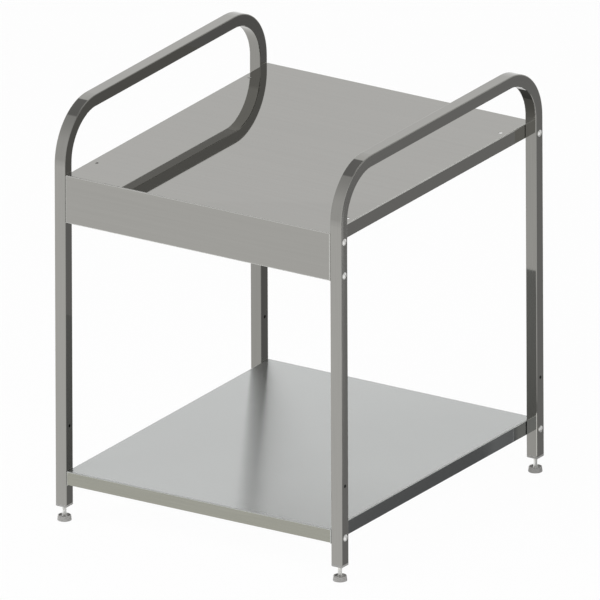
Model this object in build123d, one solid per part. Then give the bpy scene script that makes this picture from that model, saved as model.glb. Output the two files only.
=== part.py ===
from build123d import *
import os

# Stove table of stainless steel. Millimetres, +Z up, +X to the right, the front towards -Y.
# The origin is on the floor, at the middle of the table.

# Overall size
overall_width = 665.0  # across the outer faces of the legs
overall_depth = 740.0  # across the front and rear faces of the legs

# Square tube of the side frames
tube_side = 25.0
tube_wall = 1.2
tube_corner = 1.6  # outside corner radius
bore_corner = 0.4  # inside corner radius
rail_bend = 104.0  # centreline radius of the two bends of a frame
rail_rise = 133.0  # from the table top's surface to the top of the rails

# Folded sheets
sheet = 1.2
fold = 2.0  # outside radius of a fold
panel_clearance = 0.2  # from a folded sheet to the inner face of a leg
top_height = 728.0
top_flange = 29.0
apron_drop = 100.0
apron_ear = 24.0  # width of the apron's folded ends, behind the legs
apron_lip = 12.0  # lower edge of the apron, folded inwards
shelf_height = 107.5
shelf_flange = 28.0  # at the front and the rear
shelf_side_flange = 30.0

# Holes in the table top
top_hole = 8.0
top_hole_side = 16.0  # from the sheet's sides
top_hole_front = 90.0  # from the front face
top_hole_rear = 90.0  # from the rear face

# Hat-section stiffeners under the sheets
hat_crown = 40.0
hat_rise = 20.0
hat_brim = 15.0
hat_end_gap = 0.8  # from a stiffener's end to the flange beside it

# M6 bolts, and blind weld nuts inside the flanges of the sheets
bolt = 6.0
bolt_hole = 6.6
bolt_reach = 8.6  # of a bolt into its nut
bolt_end_gap = 0.3  # from a bolt's end to the closed end of its nut
head = 13.6
head_dome = 11.0
head_rim = 0.9
head_height = 3.3
socket = 4.0  # across the flats
socket_depth = 2.0
nut = 10.0  # across the flats
nut_end = 1.1  # thickness of a nut's closed end
nut_edge = 0.8  # chamfer round the closed end
thread_clearance = 0.05
top_bolt_drop = 17.5  # below the surface of the table top
apron_bolt_drop = 88.0
shelf_bolt_drop = 16.5  # below the surface of the shelf
shelf_step = 108.0  # from the shelf bolts up to the spare holes

# Levelling feet, M8
foot_set = 30.5  # height of the plugs' undersides over the floor
foot_drop = 17.5  # how far a foot still screws out with its bush full of thread
plug_flange = 5.0
plug_edge = 1.5
plug_depth = 22.0  # inside the tube
plug_clearance = 0.1
bush = 13.0
bush_length = 14.0
bush_clearance = 0.05
stud = 8.0
stud_clearance = 0.05  # running fit in the bush and in the pad
stud_tip = 1.0  # chamfer
stud_passage = 9.0  # bore of the plug over the bush
stud_head = 12.0
stud_head_height = 3.0
pad = 28.6
pad_top = 26.0
pad_height = 10.0
pad_sole = 2.0  # under the stud's head
pad_edge = 0.8
pad_dish = 22.4
pad_dish_depth = 3.0

# Places that follow from the sizes above
leg_x = (overall_width - tube_side) / 2
leg_y = (overall_depth - tube_side) / 2
leg_inside = leg_x - tube_side / 2
leg_outside = leg_x + tube_side / 2
leg_foot = foot_set + plug_flange
rail_height = top_height + rail_rise - tube_side / 2
panel_width = 2 * (leg_inside - panel_clearance)
bolt_length = tube_side + panel_clearance + sheet + bolt_reach
nut_bore = bolt_reach + bolt_end_gap
top_bolt_height = top_height - top_bolt_drop
apron_bolt_height = top_height - apron_bolt_drop
shelf_bolt_height = shelf_height - shelf_bolt_drop
spare_hole_height = shelf_bolt_height + shelf_step
front_bolt_heights = [shelf_bolt_height, apron_bolt_height, top_bolt_height]
rear_bolt_heights = [shelf_bolt_height, top_bolt_height]
corners = {
    "front_left": (-1, -1, front_bolt_heights),
    "front_right": (1, -1, front_bolt_heights),
    "rear_left": (-1, 1, rear_bolt_heights),
    "rear_right": (1, 1, rear_bolt_heights),
}


def cross_hole(diameter, length, x, y, z):
    return Pos(x, y, z) * Rot(0, 90, 0) * Cylinder(diameter / 2, length)


def side_frame():
    # One bent tube in the YZ plane: leg, rail, leg
    path = FilletPolyline(
        (0, -leg_y, leg_foot),
        (0, -leg_y, rail_height),
        (0, leg_y, rail_height),
        (0, leg_y, leg_foot),
        radius=rail_bend,
    )
    bore_side = tube_side - 2 * tube_wall
    section = RectangleRounded(tube_side, tube_side, tube_corner)
    section -= RectangleRounded(bore_side, bore_side, bore_corner)
    frame = sweep(Pos(0, -leg_y, leg_foot) * section, path)
    for row, bolt_heights in ((-1, front_bolt_heights), (1, rear_bolt_heights)):
        for height in [*bolt_heights, spare_hole_height]:
            frame -= cross_hole(bolt_hole, 2 * tube_side, 0, row * leg_y, height)
    return frame


def folded_block(width, depth, drop, radius):
    # A block under z = 0 with its upper and upright edges rounded
    block = Pos(0, 0, -drop / 2) * Box(width, depth, drop)
    rounded = block.edges().filter_by(Axis.Z) + block.faces().sort_by(Axis.Z)[-1].edges()
    return fillet(rounded, radius)


def folded_tray(drop):
    # A sheet with all four edges folded down
    inner = folded_block(panel_width - 2 * sheet, overall_depth - 2 * sheet, drop, fold - sheet)
    return folded_block(panel_width, overall_depth, drop, fold) - Pos(0, 0, -sheet) * inner


def facing_inwards(piece, side):
    return Rot(0, 0, 180) * piece if side > 0 else piece


def weld_nut():
    # Along +X, seated on x = 0
    body = extrude(RegularPolygon(nut / 2, 6, major_radius=False), nut_bore + nut_end)
    body = chamfer(body.faces().sort_by(Axis.Z)[-1].edges(), nut_edge)
    return Rot(0, 90, 0) * body


def nut_hole():
    # Along +X: the bolt's clearance in a flange that ends at x = 0, then the bore of the nut
    hole = Cylinder(bolt_hole / 2, 2 * sheet, align=(Align.CENTER, Align.CENTER, Align.MAX))
    hole += Cylinder(bolt / 2 + thread_clearance, nut_bore, align=(Align.CENTER, Align.CENTER, Align.MIN))
    return Rot(0, 90, 0) * hole


def with_weld_nuts(tray, height, rows):
    for side in (-1, 1):
        for row in rows:
            seat = Pos(side * (panel_width / 2 - sheet), row * leg_y, height)
            tray += seat * facing_inwards(weld_nut(), side)
            tray -= seat * facing_inwards(nut_hole(), side)
    return tray


def apron():
    # Front wall with folded ends, from the underside of the side flanges down, and a lip along its foot
    inner_width = panel_width - 2 * sheet
    wall = folded_block(panel_width, 2 * apron_ear, apron_drop, fold)
    wall -= folded_block(inner_width, 2 * (apron_ear - sheet), 2 * apron_drop, fold - sheet)
    keep = Box(panel_width, apron_ear, apron_drop - top_flange, align=(Align.CENTER, Align.MAX, Align.MIN))
    wall &= Pos(0, 0, -apron_drop) * keep
    lip_length = panel_width - 2 * fold
    low_front = Pos(0, -apron_ear, -apron_drop)
    wall -= low_front * Box(lip_length, 2 * fold, 2 * fold)
    lip = make_face(
        [
            CenterArc((fold, fold), fold, 180, 90),
            Line((fold, 0), (apron_lip, 0)),
            Line((apron_lip, 0), (apron_lip, sheet)),
            Line((apron_lip, sheet), (fold, sheet)),
            CenterArc((fold, fold), fold - sheet, 180, 90),
            Line((sheet, fold), (0, fold)),
        ]
    )
    wall += low_front * extrude(Plane.YZ * lip, lip_length / 2, both=True)
    return Pos(0, apron_ear - overall_depth / 2, 0) * wall


def table_top():
    top = Pos(0, 0, top_height) * (folded_tray(top_flange) + apron())
    top = with_weld_nuts(top, top_bolt_height, (-1, 1))
    top = with_weld_nuts(top, apron_bolt_height, (-1,))
    for side in (-1, 1):
        x = side * (panel_width / 2 - top_hole_side)
        for y in (top_hole_front - overall_depth / 2, overall_depth / 2 - top_hole_rear):
            top -= Pos(x, y, top_height) * Cylinder(top_hole / 2, 4 * sheet)
    return top


def lower_shelf():
    # The front and rear flanges end higher than the side flanges
    trim_height = shelf_side_flange - shelf_flange
    trim = Box(panel_width - 2 * fold, 2 * overall_depth, 2 * trim_height)
    shelf = folded_tray(shelf_side_flange) - Pos(0, 0, -shelf_side_flange) * trim
    shelf = Pos(0, 0, shelf_height) * shelf
    return with_weld_nuts(shelf, shelf_bolt_height, (-1, 1))


def stiffener(height):
    # Hat section across the table, against the underside of a sheet
    length = panel_width - 2 * sheet - 2 * hat_end_gap
    half = hat_crown / 2
    low = -hat_rise
    outline = [
        (-half - hat_brim, 0),
        (-half + sheet, 0),
        (-half + sheet, low + sheet),
        (half - sheet, low + sheet),
        (half - sheet, 0),
        (half + hat_brim, 0),
        (half + hat_brim, -sheet),
        (half, -sheet),
        (half, low),
        (-half, low),
        (-half, -sheet),
        (-half - hat_brim, -sheet),
    ]
    section = make_face(Polyline(*outline, close=True))
    hat = extrude(Plane.YZ * section, length / 2, both=True)
    return Pos(0, 0, height - sheet) * hat


def flanged_bolt():
    # Along +X, with the underside of the head at x = 0 and the head on the -X side
    rim = Cylinder(head / 2, head_rim, align=(Align.CENTER, Align.CENTER, Align.MIN))
    dome_height = head_height - head_rim
    crown = (head_dome / 2) ** 2 / dome_height
    ball_radius = (crown + dome_height) / 2
    dome = Pos(0, 0, head_height - ball_radius) * Sphere(ball_radius)
    dome &= Pos(0, 0, head_rim) * Cylinder(
        head_dome / 2, dome_height, align=(Align.CENTER, Align.CENTER, Align.MIN)
    )
    key = extrude(RegularPolygon(socket / 2, 6, major_radius=False), socket_depth)
    shank = Cylinder(bolt / 2, bolt_length, align=(Align.CENTER, Align.CENTER, Align.MAX))
    whole = rim + dome + shank - Pos(0, 0, head_height - socket_depth) * key
    return Rot(0, -90, 0) * whole


def corner_bolts(side, row, heights):
    x = side * leg_outside
    one = facing_inwards(flanged_bolt(), side)
    return [Pos(x, row * leg_y, height) * one for height in heights]


def leg_plug():
    flange = extrude(RectangleRounded(tube_side, tube_side, tube_corner), plug_flange)
    flange = fillet(flange.faces().sort_by(Axis.Z)[0].edges(), plug_edge)
    body_side = tube_side - 2 * tube_wall - 2 * plug_clearance
    body = extrude(RectangleRounded(body_side, body_side, bore_corner), plug_depth)
    plug = flange + Pos(0, 0, plug_flange) * body
    plug -= Cylinder(stud_passage / 2, 4 * plug_depth)
    plug -= Cylinder(bush / 2 + bush_clearance, 2 * bush_length)
    return Pos(0, 0, foot_set) * plug


def plug_bush():
    body = Cylinder(bush / 2, bush_length, align=(Align.CENTER, Align.CENTER, Align.MIN))
    body -= Cylinder(stud / 2 + stud_clearance, 4 * bush_length)
    return Pos(0, 0, foot_set) * body


def foot_stud():
    low = pad_sole + stud_clearance
    tip = foot_set + bush_length + foot_drop
    rod = Cylinder(stud / 2, tip - low, align=(Align.CENTER, Align.CENTER, Align.MIN))
    rod = chamfer(rod.faces().sort_by(Axis.Z)[-1].edges(), stud_tip)
    rod += Cylinder(stud_head / 2, stud_head_height, align=(Align.CENTER, Align.CENTER, Align.MIN))
    return Pos(0, 0, low) * rod


def foot_pad():
    body = Cone(pad / 2, pad_top / 2, pad_height, align=(Align.CENTER, Align.CENTER, Align.MIN))
    body = fillet(body.faces().sort_by(Axis.Z)[0].edges(), pad_edge)
    dish_floor = pad_height - pad_dish_depth
    body -= Pos(0, 0, dish_floor + pad_height / 2) * Cylinder(pad_dish / 2, pad_height)
    cavity_height = stud_head_height + 2 * stud_clearance
    cavity = Cylinder(
        stud_head / 2 + stud_clearance, cavity_height, align=(Align.CENTER, Align.CENTER, Align.MIN)
    )
    cavity += Cylinder(
        stud / 2 + stud_clearance, pad_height, align=(Align.CENTER, Align.CENTER, Align.MIN)
    )
    return body - Pos(0, 0, pad_sole) * cavity


def write(name, *pieces):
    solids = [solid for piece in pieces for solid in piece.solids()]
    shape = solids[0] if len(solids) == 1 else Compound(children=solids)
    export_step(shape, f"parts/{name}.step")


os.makedirs("parts", exist_ok=True)
frame = side_frame()
write("left_side_frame", Pos(-leg_x, 0, 0) * frame)
write("right_side_frame", Pos(leg_x, 0, 0) * frame)
write("table_top", table_top())
write("top_stiffener", stiffener(top_height))
write("lower_shelf", lower_shelf())
write("shelf_stiffener", stiffener(shelf_height))
for corner, (side, row, bolt_heights) in corners.items():
    at_leg = Pos(side * leg_x, row * leg_y, 0)
    write(f"{corner}_bolts", *corner_bolts(side, row, bolt_heights))
    write(f"{corner}_leg_plug", at_leg * leg_plug())
    write(f"{corner}_plug_bush", at_leg * plug_bush())
    write(f"{corner}_foot_stud", at_leg * foot_stud())
    write(f"{corner}_foot_pad", at_leg * foot_pad())
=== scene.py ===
from math import ceil, cos, pi, radians, sin

import bpy
from mathutils import Matrix, Vector


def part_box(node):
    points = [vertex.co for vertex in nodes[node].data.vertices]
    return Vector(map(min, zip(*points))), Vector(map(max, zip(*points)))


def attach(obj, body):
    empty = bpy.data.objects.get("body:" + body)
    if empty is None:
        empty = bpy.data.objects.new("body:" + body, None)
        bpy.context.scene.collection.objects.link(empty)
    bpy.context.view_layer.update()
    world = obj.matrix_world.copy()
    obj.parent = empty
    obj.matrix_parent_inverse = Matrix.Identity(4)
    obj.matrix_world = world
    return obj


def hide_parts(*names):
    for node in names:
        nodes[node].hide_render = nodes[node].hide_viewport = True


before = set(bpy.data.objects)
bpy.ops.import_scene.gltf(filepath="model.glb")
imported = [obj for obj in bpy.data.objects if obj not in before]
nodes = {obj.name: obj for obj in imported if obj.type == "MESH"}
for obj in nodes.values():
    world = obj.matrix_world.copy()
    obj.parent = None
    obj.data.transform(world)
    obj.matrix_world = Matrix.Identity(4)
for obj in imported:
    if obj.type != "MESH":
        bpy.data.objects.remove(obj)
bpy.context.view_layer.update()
cornerNames = ["front_left", "front_right", "rear_left", "rear_right"]
print("frame loaded:", len(nodes), "nodes")


def linear(hexColour):
    channels = [int(hexColour[i:i + 2], 16) / 255 for i in (1, 3, 5)]
    return (*(c / 12.92 if c <= 0.04045 else ((c + 0.055) / 1.055) ** 2.4 for c in channels), 1.0)


def addNode(tree, kind, inputs=None, **settings):
    node = tree.nodes.new(kind)
    for name, value in settings.items():
        setattr(node, name, value)
    for name, value in (inputs or {}).items():
        if isinstance(value, bpy.types.NodeSocket):
            tree.links.new(value, node.inputs[name])
        else:
            node.inputs[name].default_value = value
    return node


def newMaterial(name):
    material = bpy.data.materials.new(name)
    material.use_nodes = True
    tree = material.node_tree
    return material, tree, tree.nodes["Principled BSDF"]


def paint(piece, material):
    piece.data.materials.clear()
    piece.data.materials.append(material)


# Spans that the finishes share: where a noise texture mostly lies, and how a face's normal leans
noiseSpan = {"From Min": 0.3, "From Max": 0.7}
inwardSpan = {"From Min": -0.3, "From Max": -0.7}  # from other faces to those that look inwards
foldSpan = {"From Min": 0.999, "From Max": 0.985}  # from flats to folds
flatLean = 0.9  # least share of a flat face's normal along its axis


def findInward(tree, axes, normal):
    # 1 where a face looks into the table: its normal points to the middle, or down
    lean = normal.outputs["Z"]
    for axis in "XY":
        side = addNode(tree, "ShaderNodeMath", {0: axes.outputs[axis]}, operation="SIGN")
        out = addNode(
            tree, "ShaderNodeMath", {0: normal.outputs[axis], 1: side.outputs[0]}, operation="MULTIPLY"
        )
        least = addNode(tree, "ShaderNodeMath", {0: lean, 1: out.outputs[0]}, operation="MINIMUM")
        lean = least.outputs[0]
    return addNode(tree, "ShaderNodeMapRange", {"Value": lean, **inwardSpan})


def addGrain(tree, grain, colour, finish):
    # the grain lightens and darkens the steel, makes it duller in places, and ridges it a little
    shade = addNode(
        tree, "ShaderNodeMapRange",
        {"Value": grain.outputs[0], **noiseSpan,
         "To Min": 1 - finish["shade"], "To Max": 1 + finish["shade"]},
    )
    shaded = addNode(
        tree, "ShaderNodeVectorMath", {0: colour, "Scale": shade.outputs[0]}, operation="SCALE"
    )
    low, high = finish["roughness"]
    spread = addNode(
        tree, "ShaderNodeMapRange",
        {"Value": grain.outputs[0], **noiseSpan, "To Min": low, "To Max": high},
    )
    bump = addNode(
        tree, "ShaderNodeBump",
        {"Strength": finish["bump"], "Distance": finish["ridge"] / 1000, "Height": grain.outputs[0]},
    )
    return shaded.outputs[0], spread.outputs[0], bump.outputs["Normal"]


# Stainless tube, ground and polished lengthwise: a clear mirror on the outer faces. The faces that look
# into the table, or down, are painted a shade darker as painted shade, so they mirror the same things
# darker
tubeFinish = {
    "outerColour": "#9e9d99",
    # painted shade: the darker colour of the faces that look into the table or down
    "innerPaintedShadeColour": "#908f8b",
    "roughness": (0.018, 0.045),
    "grainWidth": 2.2,  # mm; real grit lines are near 0.1 mm, too fine to show, so drawn coarser
    "grainLength": 160,  # mm
    "bendRadius": 116.5,  # mm, outside
    "shade": 0.03,  # how much the grain lightens and darkens
    "bump": 0.003,
    "ridge": 0.2,  # mm
}


def makeTubeSteel(finish):
    material, tree, shader = newMaterial("polished stainless tube")
    place = addNode(tree, "ShaderNodeTexCoord")
    axes = addNode(tree, "ShaderNodeSeparateXYZ", {0: place.outputs["Object"]})
    # how far out a point lies from the centre of its bend, so that the grain follows the bends
    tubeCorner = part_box("left_side_frame")[1]
    bend = finish["bendRadius"] / 1000
    depth = addNode(tree, "ShaderNodeMath", {0: axes.outputs["Y"]}, operation="ABSOLUTE")
    past = []
    for reached, end in ((depth.outputs[0], tubeCorner.y), (axes.outputs["Z"], tubeCorner.z)):
        out = addNode(tree, "ShaderNodeMath", {0: reached, 1: end - bend}, operation="SUBTRACT")
        over = addNode(tree, "ShaderNodeMath", {0: out.outputs[0], 1: 0.0}, operation="MAXIMUM")
        past.append(over.outputs[0])
    corner = addNode(tree, "ShaderNodeCombineXYZ", {0: past[0], 1: past[1]})
    reach = addNode(tree, "ShaderNodeVectorMath", {0: corner.outputs[0]}, operation="LENGTH")
    along = addNode(
        tree, "ShaderNodeMath", {0: axes.outputs["Y"], 1: axes.outputs["Z"]}, operation="ADD"
    )
    drawn = addNode(
        tree, "ShaderNodeCombineXYZ",
        {0: axes.outputs["X"], 1: reach.outputs["Value"], 2: along.outputs[0]},
    )
    fine, coarse = 1000 / finish["grainWidth"], 1000 / finish["grainLength"]
    scaled = addNode(
        tree, "ShaderNodeVectorMath", {0: drawn.outputs[0], 1: (fine, fine, coarse)}, operation="MULTIPLY"
    )
    grain = addNode(
        tree, "ShaderNodeTexNoise",
        {"Vector": scaled.outputs[0], "Scale": 1.0, "Detail": 3.0, "Roughness": 0.6},
    )
    facing = addNode(tree, "ShaderNodeNewGeometry")
    normal = addNode(tree, "ShaderNodeSeparateXYZ", {0: facing.outputs["True Normal"]})
    # faces that look into the table or down get the darker colour: painted shade
    paintedShadeMask = findInward(tree, axes, normal)
    colour = addNode(
        tree, "ShaderNodeMix",
        {0: paintedShadeMask.outputs[0], 6: linear(finish["outerColour"]), 7: linear(finish["innerPaintedShadeColour"])},
        data_type="RGBA",
    )
    shaded, roughness, ridges = addGrain(tree, grain, colour.outputs[2], finish)
    tree.links.new(shaded, shader.inputs["Base Color"])
    tree.links.new(roughness, shader.inputs["Roughness"])
    tree.links.new(ridges, shader.inputs["Normal"])
    shader.inputs["Metallic"].default_value = 1.0
    return material


tubeSteel = makeTubeSteel(tubeFinish)
for name in ("left_side_frame", "right_side_frame"):
    paint(nodes[name], tubeSteel)
print("side frames painted")


# Cold-rolled stainless sheet: bright and nearly flat, with faint streaks along the rolling direction.
# Folds and cut edges are duller than the flats, and painted paler: a painted highlight along them. Its
# back, under the table, is left as the mill made it, grey and dull
topFinish = {
    "levelColour": "#9f9e9a",
    "frontColour": "#9f9e9a",
    "sideColour": "#9f9e9a",
    # painted highlight: the paler colour of the folds
    "foldColour": "#d6d6d2",
    "foldRoughness": 0.42,
    "backColour": "#8c8c88",
    "backRoughness": 0.36,
    "roughness": (0.012, 0.035),
    "anisotropy": 0.0,
    "streakLength": 420,  # mm, from left to right
    "streakWidth": 5.0,  # mm
    "shade": 0.02,  # how much the streaks lighten and darken
    "bump": 0.002,
    "ridge": 0.2,  # mm
}
# Sheet brushed with a belt from left to right: pale, with reflections drawn out across the brush lines.
# The flanges are painted darker than the flat as painted shade for how the light falls on them, the side
# ones most of all, and the back is pale and dull
shelfFinish = {
    "levelColour": "#bcbebd",
    # painted shade: the flanges' colours, darker than the flat's, the side ones most
    "frontColour": "#a2a298",
    "sideColour": "#717373",
    # painted highlight: the paler colour of the folds
    "foldColour": "#e4e6e4",
    "foldRoughness": 0.42,
    "backColour": "#dcdcd8",
    "backRoughness": 0.36,
    "roughness": (0.255, 0.265),
    "anisotropy": 1.0,
    "streakLength": 130,  # mm
    "streakWidth": 1.6,  # mm; real brush lines are near 0.2 mm, too fine to show, so drawn coarser
    "shade": 0.05,
    "bump": 0.006,
    "ridge": 0.2,  # mm
}


def makeSheetSteel(name, finish):
    material, tree, shader = newMaterial(name)
    place = addNode(tree, "ShaderNodeTexCoord")
    along, across = 1000 / finish["streakLength"], 1000 / finish["streakWidth"]
    drawn = addNode(
        tree, "ShaderNodeMapping", {"Vector": place.outputs["Object"], "Scale": (along, across, across)}
    )
    streak = addNode(
        tree, "ShaderNodeTexNoise",
        {"Vector": drawn.outputs[0], "Scale": 1.0, "Detail": 3.0, "Roughness": 0.6},
    )
    # flats are told from folds by how near the normal is to an axis
    axes = addNode(tree, "ShaderNodeSeparateXYZ", {0: place.outputs["Object"]})
    facing = addNode(tree, "ShaderNodeNewGeometry")
    trueNormal = facing.outputs["True Normal"]
    normal = addNode(tree, "ShaderNodeSeparateXYZ", {0: trueNormal})
    size = addNode(tree, "ShaderNodeVectorMath", {0: trueNormal}, operation="ABSOLUTE")
    sizes = addNode(tree, "ShaderNodeSeparateXYZ", {0: size.outputs[0]})
    sizeX, sizeY, sizeZ = (sizes.outputs[axis] for axis in "XYZ")
    wider = addNode(tree, "ShaderNodeMath", {0: sizeX, 1: sizeY}, operation="MAXIMUM")
    widest = addNode(tree, "ShaderNodeMath", {0: wider.outputs[0], 1: sizeZ}, operation="MAXIMUM")
    # folds are painted paler as a painted highlight, and made duller
    fold = addNode(tree, "ShaderNodeMapRange", {"Value": widest.outputs[0], **foldSpan})
    # front and side flanges take their own colours: on the shelf, painted shade
    front = addNode(tree, "ShaderNodeMath", {0: sizeY, 1: flatLean}, operation="GREATER_THAN")
    side = addNode(tree, "ShaderNodeMath", {0: sizeX, 1: flatLean}, operation="GREATER_THAN")
    back = findInward(tree, axes, normal)
    colour = linear(finish["levelColour"])
    for mask, part in ((front, "front"), (side, "side"), (back, "back"), (fold, "fold")):
        mixed = addNode(
            tree, "ShaderNodeMix", {0: mask.outputs[0], 6: colour, 7: linear(finish[part + "Colour"])},
            data_type="RGBA",
        )
        colour = mixed.outputs[2]
    shaded, roughness, ridges = addGrain(tree, streak, colour, finish)
    for mask, part in ((back, "back"), (fold, "fold")):
        mixed = addNode(
            tree, "ShaderNodeMix", {0: mask.outputs[0], 2: roughness, 3: finish[part + "Roughness"]},
            data_type="FLOAT",
        )
        roughness = mixed.outputs[0]
    tree.links.new(shaded, shader.inputs["Base Color"])
    tree.links.new(roughness, shader.inputs["Roughness"])
    tree.links.new(ridges, shader.inputs["Normal"])
    shader.inputs["Metallic"].default_value = 1.0
    shader.inputs["Anisotropic"].default_value = finish["anisotropy"]
    # reflections spread square to the brush lines, and up and down on the side flanges, where only
    # the upright share is left
    brushWay, uprightShare = (1, 0, 0), (0, 0, 0.001)
    square = addNode(
        tree, "ShaderNodeVectorMath", {0: trueNormal, 1: brushWay}, operation="CROSS_PRODUCT"
    )
    spreadWay = addNode(
        tree, "ShaderNodeVectorMath", {0: square.outputs[0], 1: uprightShare}, operation="ADD"
    )
    tree.links.new(spreadWay.outputs[0], shader.inputs["Tangent"])
    return material


topSteel = makeSheetSteel("rolled stainless sheet", topFinish)
shelfSteel = makeSheetSteel("brushed stainless sheet", shelfFinish)
for name in ("table_top", "top_stiffener"):
    paint(nodes[name], topSteel)
for name in ("lower_shelf", "shelf_stiffener"):
    paint(nodes[name], shelfSteel)
print("sheets painted")


def addCloud(tree, place, finish):
    # soft clouds of two colours
    cloud = addNode(
        tree, "ShaderNodeTexNoise",
        {"Vector": place.outputs["Object"], "Scale": 1000 / finish["cloud"], "Detail": 2.0},
    )
    share = addNode(tree, "ShaderNodeMapRange", {"Value": cloud.outputs[0], **noiseSpan})
    darker, paler = (linear(colour) for colour in finish["colours"])
    colour = addNode(
        tree, "ShaderNodeMix", {0: share.outputs[0], 6: darker, 7: paler}, data_type="RGBA"
    )
    return colour.outputs[2], share.outputs[0]


# Bright zinc plate over steel: silvery white, a little cloudy
zincFinish = {
    "colours": ("#ebebe9", "#f8f8f6"),
    "roughness": (0.34, 0.48),
    "cloud": 3.0,  # mm
}


def makeZinc(finish):
    material, tree, shader = newMaterial("bright zinc-plated steel")
    place = addNode(tree, "ShaderNodeTexCoord")
    colour, share = addCloud(tree, place, finish)
    low, high = finish["roughness"]
    spread = addNode(tree, "ShaderNodeMapRange", {"Value": share, "To Min": high, "To Max": low})
    tree.links.new(colour, shader.inputs["Base Color"])
    tree.links.new(spread.outputs[0], shader.inputs["Roughness"])
    shader.inputs["Metallic"].default_value = 1.0
    return material


# Turned brass: warm yellow, with rings left by the tool
brassFinish = {
    "colour": "#c9a860",
    "roughness": (0.22, 0.34),
    "ring": 3.77,  # mm; real tool marks are near 0.1 mm, too fine to show, so drawn coarser
    "waver": 0.4,
}
waveBand = 2 * pi / 20  # width of the wave texture's bands at a scale of 1


def makeBrass(finish):
    material, tree, shader = newMaterial("turned brass")
    place = addNode(tree, "ShaderNodeTexCoord")
    rings = addNode(
        tree, "ShaderNodeTexWave",
        {"Vector": place.outputs["Object"], "Scale": waveBand * 1000 / finish["ring"],
         "Distortion": finish["waver"]},
        wave_type="BANDS", bands_direction="Z",
    )
    low, high = finish["roughness"]
    spread = addNode(
        tree, "ShaderNodeMapRange", {"Value": rings.outputs["Fac"], "To Min": low, "To Max": high}
    )
    tree.links.new(spread.outputs[0], shader.inputs["Roughness"])
    shader.inputs["Base Color"].default_value = linear(finish["colour"])
    shader.inputs["Metallic"].default_value = 1.0
    return material


# Moulded nylon: grey, dull, faintly clouded where it flowed, with a fine eroded texture from the mould
nylonFinish = {
    "colours": ("#a5a4a2", "#b1b0ae"),
    "roughness": (0.42, 0.58),
    "ior": 1.53,
    "cloud": 7.0,  # mm
    "texture": 0.9,  # mm
    "bump": 0.03,
    "ridge": 0.1,  # mm
}


def makeNylon(finish):
    material, tree, shader = newMaterial("moulded grey nylon")
    place = addNode(tree, "ShaderNodeTexCoord")
    colour = addCloud(tree, place, finish)[0]
    erosion = addNode(
        tree, "ShaderNodeTexNoise",
        {"Vector": place.outputs["Object"], "Scale": 1000 / finish["texture"], "Detail": 3.0},
    )
    low, high = finish["roughness"]
    spread = addNode(
        tree, "ShaderNodeMapRange",
        {"Value": erosion.outputs[0], **noiseSpan, "To Min": low, "To Max": high},
    )
    bump = addNode(
        tree, "ShaderNodeBump",
        {"Strength": finish["bump"], "Distance": finish["ridge"] / 1000, "Height": erosion.outputs[0]},
    )
    tree.links.new(colour, shader.inputs["Base Color"])
    tree.links.new(spread.outputs[0], shader.inputs["Roughness"])
    tree.links.new(bump.outputs["Normal"], shader.inputs["Normal"])
    shader.inputs["IOR"].default_value = finish["ior"]
    return material


zincSteel = makeZinc(zincFinish)
brass = makeBrass(brassFinish)
greyNylon = makeNylon(nylonFinish)
for corner in cornerNames:
    paint(nodes[corner + "_bolts"], zincSteel)
    paint(nodes[corner + "_plug_bush"], brass)
    paint(nodes[corner + "_leg_plug"], greyNylon)
    paint(nodes[corner + "_foot_pad"], greyNylon)
print("fasteners and feet painted")


def startPoint(place):
    # a plane merged to one point, to draw edges from
    bpy.ops.object.select_all(action="DESELECT")
    bpy.ops.mesh.primitive_plane_add()
    bpy.ops.object.mode_set(mode="EDIT")
    bpy.ops.mesh.select_mode(type="VERT")
    bpy.ops.mesh.select_all(action="SELECT")
    bpy.ops.mesh.merge(type="CENTER")
    bpy.ops.transform.translate(value=place)
    return bpy.context.object


# Levelling stud, M8: a rolled thread on a flat head that sits in the pad
studShape = {
    "pitch": 1.25,  # mm
    "crest": 4.0,  # mm, radius
    "root": 3.235,  # mm, radius
    "crestFlat": 0.156,  # mm
    "rootFlat": 0.21,  # mm
    "steps": 28,  # round a turn
    "turnsUnder": 2,  # from where the thread starts up to the head's top, where it is cut
    "turnsSpare": 3,  # more than the stud is long, so that its upper end is cut too
    "head": 6.0,  # mm, radius
    "headHeight": 3.0,  # mm
    "headEdge": 0.3,  # mm
    "edgeSteps": 2,
    "tipShare": 0.76,  # of the thread's size, at the chamfered tip
    "smoothAngle": 35,  # degrees
    "mergeGap": 0.001,  # mm
    "cutGap": 0.0001,  # mm
    "endGap": 0.01,  # mm, faces this near to an end belong to it
}


def pickFaces(mesh, test):
    bpy.ops.mesh.select_mode(type="FACE")
    bpy.ops.mesh.select_all(action="DESELECT")
    bpy.ops.object.mode_set(mode="OBJECT")
    for face in mesh.polygons:
        face.select = test(face)
    bpy.ops.object.mode_set(mode="EDIT")


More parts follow.
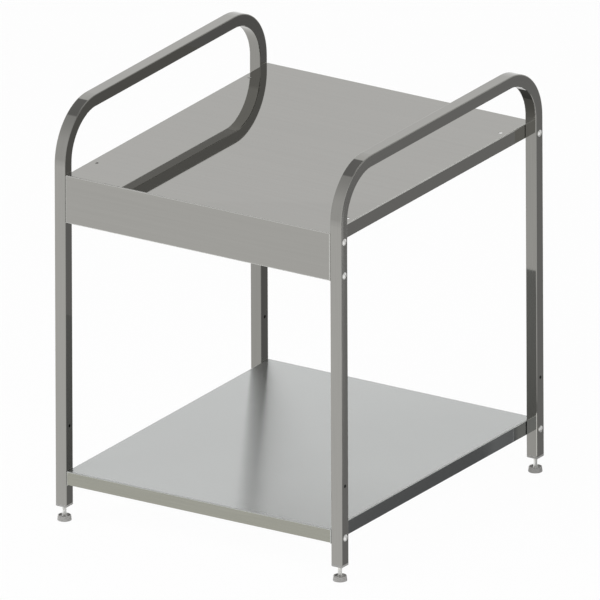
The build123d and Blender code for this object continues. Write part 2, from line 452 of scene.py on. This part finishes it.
def makeStud(shape, low, high):
    pitch, crest, root = shape["pitch"] / 1000, shape["crest"] / 1000, shape["root"] / 1000
    crestFlat, rootFlat = shape["crestFlat"] / 1000, shape["rootFlat"] / 1000
    flank = (pitch - crestFlat - rootFlat) / 2
    headTop = low + shape["headHeight"] / 1000
    endGap = shape["endGap"] / 1000
    # one tooth of the thread, drawn upwards from the root
    stud = startPoint((root, 0, headTop - shape["turnsUnder"] * pitch))
    for out, rise in ((0, rootFlat), (crest - root, flank), (0, crestFlat), (root - crest, flank)):
        bpy.ops.mesh.extrude_vertices_move(TRANSFORM_OT_translate={"value": (out, 0, rise)})
    bpy.ops.object.mode_set(mode="OBJECT")
    screw = stud.modifiers.new("thread", "SCREW")
    screw.axis = "Z"
    screw.screw_offset = pitch
    screw.iterations = ceil((high - headTop) / pitch) + shape["turnsSpare"]
    screw.steps = shape["steps"]
    screw.render_steps = shape["steps"]
    bpy.ops.object.modifier_apply(modifier=screw.name)
    bpy.ops.object.mode_set(mode="EDIT")
    bpy.ops.mesh.select_all(action="SELECT")
    bpy.ops.mesh.remove_doubles(threshold=shape["mergeGap"] / 1000)
    for height, way in ((headTop, -1), (high, 1)):
        bpy.ops.mesh.select_all(action="SELECT")
        bpy.ops.mesh.bisect(
            plane_co=(0, 0, height), plane_no=(0, 0, way), use_fill=True, clear_outer=True,
            threshold=shape["cutGap"] / 1000,
        )
    bpy.ops.mesh.select_all(action="SELECT")
    bpy.ops.mesh.normals_make_consistent(inside=False)
    # tip drawn in, then the head drawn out of the lower end
    tip = shape["tipShare"]
    pickFaces(stud.data, lambda face: face.normal.z > flatLean and face.center.z > high - endGap)
    bpy.ops.transform.resize(value=(tip, tip, 1), center_override=(0, 0, high))
    pickFaces(stud.data, lambda face: face.normal.z < -flatLean and face.center.z < headTop + endGap)
    bpy.ops.mesh.extrude_region_move(TRANSFORM_OT_translate={"value": (0, 0, 0)})
    bpy.ops.transform.tosphere(value=1.0, center_override=(0, 0, headTop))
    bpy.ops.object.mode_set(mode="OBJECT")
    reach = max(vertex.co.xy.length for vertex in stud.data.vertices if vertex.select)
    bpy.ops.object.mode_set(mode="EDIT")
    grow = shape["head"] / 1000 / reach
    bpy.ops.transform.resize(value=(grow, grow, 1), center_override=(0, 0, headTop))
    bpy.ops.mesh.extrude_region_move(TRANSFORM_OT_translate={"value": (0, 0, low - headTop)})
    bpy.ops.mesh.bevel(offset=shape["headEdge"] / 1000, segments=shape["edgeSteps"])
    bpy.ops.object.mode_set(mode="OBJECT")
    bpy.ops.object.shade_smooth_by_angle(angle=radians(shape["smoothAngle"]))
    return stud


studLow, studHigh = (corner.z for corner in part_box("front_left_foot_stud"))
firstStud = makeStud(studShape, studLow, studHigh)
paint(firstStud, zincSteel)
for corner in cornerNames:
    boxLow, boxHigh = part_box(corner + "_foot_stud")
    stud = firstStud.copy()
    stud.data = firstStud.data.copy()
    stud.name = corner + "_threaded_stud"
    bpy.context.collection.objects.link(stud)
    middle = (boxLow + boxHigh) / 2
    stud.data.transform(Matrix.Translation((middle.x, middle.y, 0)))
    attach(stud, corner + "_stud")
    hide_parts(corner + "_foot_stud")
bpy.data.meshes.remove(firstStud.data)  # takes the first stud away with it
print("studs threaded")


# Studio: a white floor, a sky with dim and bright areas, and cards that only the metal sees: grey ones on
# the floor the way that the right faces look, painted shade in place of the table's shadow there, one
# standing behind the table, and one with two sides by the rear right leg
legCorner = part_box("right_side_frame")[1]
cardX = legCorner.x + 0.0005  # m, just outside the legs
cardY = legCorner.y
cardZ = 0.0002  # m, just over the floor
studio = {
    "floorColour": "#f4f4f3",
    "floorRoughness": 0.9,
    "floorSize": 80.0,  # m
    "floorDrop": 0.0005,  # m under the feet
    "floorWhite": 0.97,  # share of plain white that the camera and the metal see
    "floorFade": (2.0, 4.2, 0.8),  # m in front, from and to, and how white the metal still sees it there
    "worldLevel": 0.62,
    "skyFront": (0.79, 0.52),  # at the horizon and overhead
    "skyFade": 0.3,  # height where the front begins to dim
    "lowest": 0.02,  # height under which the slope grows no more
    "areas": {  # level, and where each edge begins and where it is full; slope is back over up
        "rearSky": (0.93, (("back", -0.1, 0.1),)),
        "rightWall": (0.53, (("across", 0.3, 0.4), ("slope", 0.70, 0.75))),
        "leftStrip": (1.98, (("across", -0.3, -0.4), ("back", 0.4, 0.5), ("up", 0.34, 0.30))),
        "beams": (
            0.29,
            (("aside", 0.25, 0.40), ("up", 0.40, 0.55), ("slope", -0.206, -0.146), ("slope", 0.757, 0.697)),
        ),
    },
    "cardTurn": 32.414,  # degrees to the right of the back
    "cardFade": (-0.30, -0.08),  # m across the cards that dim towards the left
    "cards": {  # edge from and to, its sweep back and up, all in m, and level, or levels left and right
        # grey floor cards: painted shade in place of the table's shadow, seen only in the metal
        "rearCard": ((-cardX, cardY, cardZ), (cardX, cardY, cardZ), (2.8, 0), (0.235, 0.32)),
        "rightCard": ((cardX, cardY, cardZ), (cardX, -cardY, cardZ), (2.8, 0), (0.235, 0.32)),
        "legCard": ((-0.305, -0.30, cardZ), (-0.305, -0.40, cardZ), (0.3, 0), (0.235, 0.32)),
        "railCard": ((-2.1, 1.35, cardZ), (-1.4, 1.35, cardZ), (0.93, 0), 0.69),
        "rearFlag": ((-1.63, 0.60, 0.72), (0.0, 1.57, 0.72), (0, 0.63), 0.95),
        "fillCard": ((0.3085, 0.3005, 0.02), (0.365, 0.3005, 0.02), (0, 0.09), 2.4),
        "fillBack": ((0.3085, 0.3, 0.02), (0.365, 0.3, 0.02), (0, 0.09), 0.5),
    },
    "lamps": {  # place and size in m, and power
        "keyLamp": ((-1.6, -2.4, 2.8), 2.2, 55.0),
        "fillLamp": ((2.6, -1.2, 1.6), 2.0, 22.0),
    },
    "lampAim": (0, 0, 0.4),  # m
}


def findSeen(tree):
    # 1 on what the camera sees, straight or in metal and glass
    path = addNode(tree, "ShaderNodeLightPath")
    seen = path.outputs["Is Camera Ray"]
    for ray in ("Is Glossy Ray", "Is Transmission Ray"):
        both = addNode(tree, "ShaderNodeMath", {0: seen, 1: path.outputs[ray]}, operation="ADD")
        seen = both.outputs[0]
    return seen, path.outputs["Is Camera Ray"]


def makeWorld(light):
    world = bpy.data.worlds.new("studio sky")
    bpy.context.scene.world = world
    world.use_nodes = True
    tree = world.node_tree
    tree.nodes.clear()
    place = addNode(tree, "ShaderNodeTexCoord")
    axes = addNode(tree, "ShaderNodeSeparateXYZ", {0: place.outputs["Generated"]})
    up = addNode(
        tree, "ShaderNodeMath", {0: axes.outputs["Z"], 1: light["lowest"]}, operation="MAXIMUM"
    )
    slope = addNode(
        tree, "ShaderNodeMath", {0: axes.outputs["Y"], 1: up.outputs[0]}, operation="DIVIDE"
    )
    aside = addNode(tree, "ShaderNodeMath", {0: axes.outputs["X"]}, operation="ABSOLUTE")
    ways = {
        "across": axes.outputs["X"], "aside": aside.outputs[0], "back": axes.outputs["Y"],
        "up": up.outputs[0], "slope": slope.outputs[0],
    }
    horizon, overhead = light["skyFront"]
    front = addNode(
        tree, "ShaderNodeMapRange",
        {"Value": up.outputs[0], "From Min": light["skyFade"], "To Min": horizon, "To Max": overhead},
        interpolation_type="SMOOTHSTEP",
    )
    sky = front.outputs[0]
    for level, edges in light["areas"].values():
        share = 1.0
        for way, begin, full in edges:
            edge = addNode(
                tree, "ShaderNodeMapRange", {"Value": ways[way], "From Min": begin, "From Max": full}
            )
            both = addNode(
                tree, "ShaderNodeMath", {0: edge.outputs[0], 1: share}, operation="MULTIPLY"
            )
            share = both.outputs[0]
        mixed = addNode(tree, "ShaderNodeMix", {0: share, 2: sky, 3: level}, data_type="FLOAT")
        sky = mixed.outputs[0]
    seen, byCamera = findSeen(tree)
    strength = addNode(
        tree, "ShaderNodeMapRange", {"Value": seen, "To Min": light["worldLevel"], "To Max": 1.0}
    )
    # the camera sees plain white, through the floor too
    plain = addNode(tree, "ShaderNodeMix", {0: byCamera, 2: sky, 3: 1.0}, data_type="FLOAT")
    background = addNode(
        tree, "ShaderNodeBackground", {"Color": plain.outputs[0], "Strength": strength.outputs[0]}
    )
    addNode(tree, "ShaderNodeOutputWorld", {"Surface": background.outputs[0]})


def makeFloor(light):
    bpy.ops.object.select_all(action="DESELECT")
    bpy.ops.mesh.primitive_plane_add(size=light["floorSize"], location=(0, 0, -light["floorDrop"]))
    floor = bpy.context.object
    floor.name = "studioFloor"
    material, tree, shader = newMaterial("white studio floor")
    shader.inputs["Base Color"].default_value = linear(light["floorColour"])
    shader.inputs["Roughness"].default_value = light["floorRoughness"]
    shader.inputs["Specular IOR Level"].default_value = 0.0
    seen, byCamera = findSeen(tree)
    share = addNode(tree, "ShaderNodeMath", {0: seen, 1: light["floorWhite"]}, operation="MULTIPLY")
    # the metal sees the floor dim towards the front
    place = addNode(tree, "ShaderNodeTexCoord")
    axes = addNode(tree, "ShaderNodeSeparateXYZ", {0: place.outputs["Object"]})
    near, far, left = light["floorFade"]
    fade = addNode(
        tree, "ShaderNodeMapRange",
        {"Value": axes.outputs["Y"], "From Min": -near, "From Max": -far, "To Min": 1.0, "To Max": left},
    )
    white = addNode(tree, "ShaderNodeEmission", {"Color": (1, 1, 1, 1), "Strength": fade.outputs[0]})
    # the camera sees through to the white sky, so that a foot screwed out past the floor still shows
    clear = addNode(tree, "ShaderNodeBsdfTransparent")
    backdrop = addNode(
        tree, "ShaderNodeMixShader", {0: byCamera, 1: white.outputs[0], 2: clear.outputs[0]}
    )
    mixed = addNode(
        tree, "ShaderNodeMixShader",
        {0: share.outputs[0], 1: shader.outputs[0], 2: backdrop.outputs[0]},
    )
    tree.links.new(mixed.outputs[0], tree.nodes["Material Output"].inputs["Surface"])
    paint(floor, material)


def makeCardGrey(light, turn, level):
    material, tree, shader = newMaterial("grey card")
    tree.nodes.remove(shader)  # a card only glows
    strength = level
    if isinstance(level, tuple):
        place = addNode(tree, "ShaderNodeTexCoord")
        across = addNode(
            tree, "ShaderNodeVectorMath", {0: place.outputs["Object"], 1: (cos(turn), -sin(turn), 0)},
            operation="DOT_PRODUCT",
        )
        (fadeLeft, fadeRight), (dark, pale) = light["cardFade"], level
        fade = addNode(
            tree, "ShaderNodeMapRange",
            {"Value": across.outputs["Value"], "From Min": fadeLeft, "From Max": fadeRight,
             "To Min": dark, "To Max": pale},
        )
        strength = fade.outputs[0]
    grey = addNode(tree, "ShaderNodeEmission", {"Color": (1, 1, 1, 1), "Strength": strength})
    tree.links.new(grey.outputs[0], tree.nodes["Material Output"].inputs["Surface"])
    return material


def makeCards(light):
    turn = radians(light["cardTurn"])
    for name, (begin, end, (reach, rise), level) in light["cards"].items():
        card = startPoint(begin)
        card.name = name
        edge = Vector(end) - Vector(begin)
        bpy.ops.mesh.extrude_vertices_move(TRANSFORM_OT_translate={"value": edge})
        bpy.ops.mesh.select_all(action="SELECT")
        sweep = (sin(turn) * reach, cos(turn) * reach, rise)
        bpy.ops.mesh.extrude_edges_move(TRANSFORM_OT_translate={"value": sweep})
        bpy.ops.object.mode_set(mode="OBJECT")
        paint(card, makeCardGrey(light, turn, level))
        card.visible_camera = False
        card.visible_diffuse = False
        card.visible_shadow = False


def makeLamps(light):
    for name, (place, size, power) in light["lamps"].items():
        bpy.ops.object.light_add(type="AREA", location=place)
        lamp = bpy.context.object
        lamp.name = name
        lamp.data.shape = "DISK"
        lamp.data.size = size
        lamp.data.energy = power
        beam = Vector(light["lampAim"]) - Vector(place)
        lamp.rotation_euler = beam.to_track_quat("-Z", "Y").to_euler()
        lamp.visible_glossy = False


makeWorld(studio)
makeFloor(studio)
makeCards(studio)
makeLamps(studio)
print("studio lit")


# Camera: the photograph has no perspective, so an orthographic camera at its angle and scale
cameraSettings = {
    "azimuth": 32.474,  # degrees to the right of the front
    "elevation": 20.611,  # degrees
    "roll": -0.229,  # degrees
    "width": 1.1767,  # m across the picture
    "aim": (0.0, 0.0, 0.4305),  # m
    "drop": 0.0065,  # m, aim point down the picture
    "shift": (0.00148, -0.01145),  # of the picture's width
    "distance": 4.0,  # m
    "farthest": 100.0,  # m
}


def makeCamera(view):
    turn, rise = radians(view["azimuth"]), radians(view["elevation"])
    back = Vector((sin(turn) * cos(rise), -cos(turn) * cos(rise), sin(rise)))
    data = bpy.data.cameras.new("photoCamera")
    camera = bpy.data.objects.new("photoCamera", data)
    bpy.context.scene.collection.objects.link(camera)
    data.type = "ORTHO"
    data.ortho_scale = view["width"]
    data.shift_x, data.shift_y = view["shift"]
    data.clip_end = view["farthest"]
    level = (-back).to_track_quat("-Z", "Y").to_matrix()
    turned = level @ Matrix.Rotation(radians(view["roll"]), 3, "Z")
    camera.rotation_euler = turned.to_euler()
    camera.location = Vector(view["aim"]) - turned.col[1] * view["drop"] + back * view["distance"]
    bpy.context.scene.camera = camera


makeCamera(cameraSettings)
bpy.context.scene.view_settings.view_transform = "Standard"
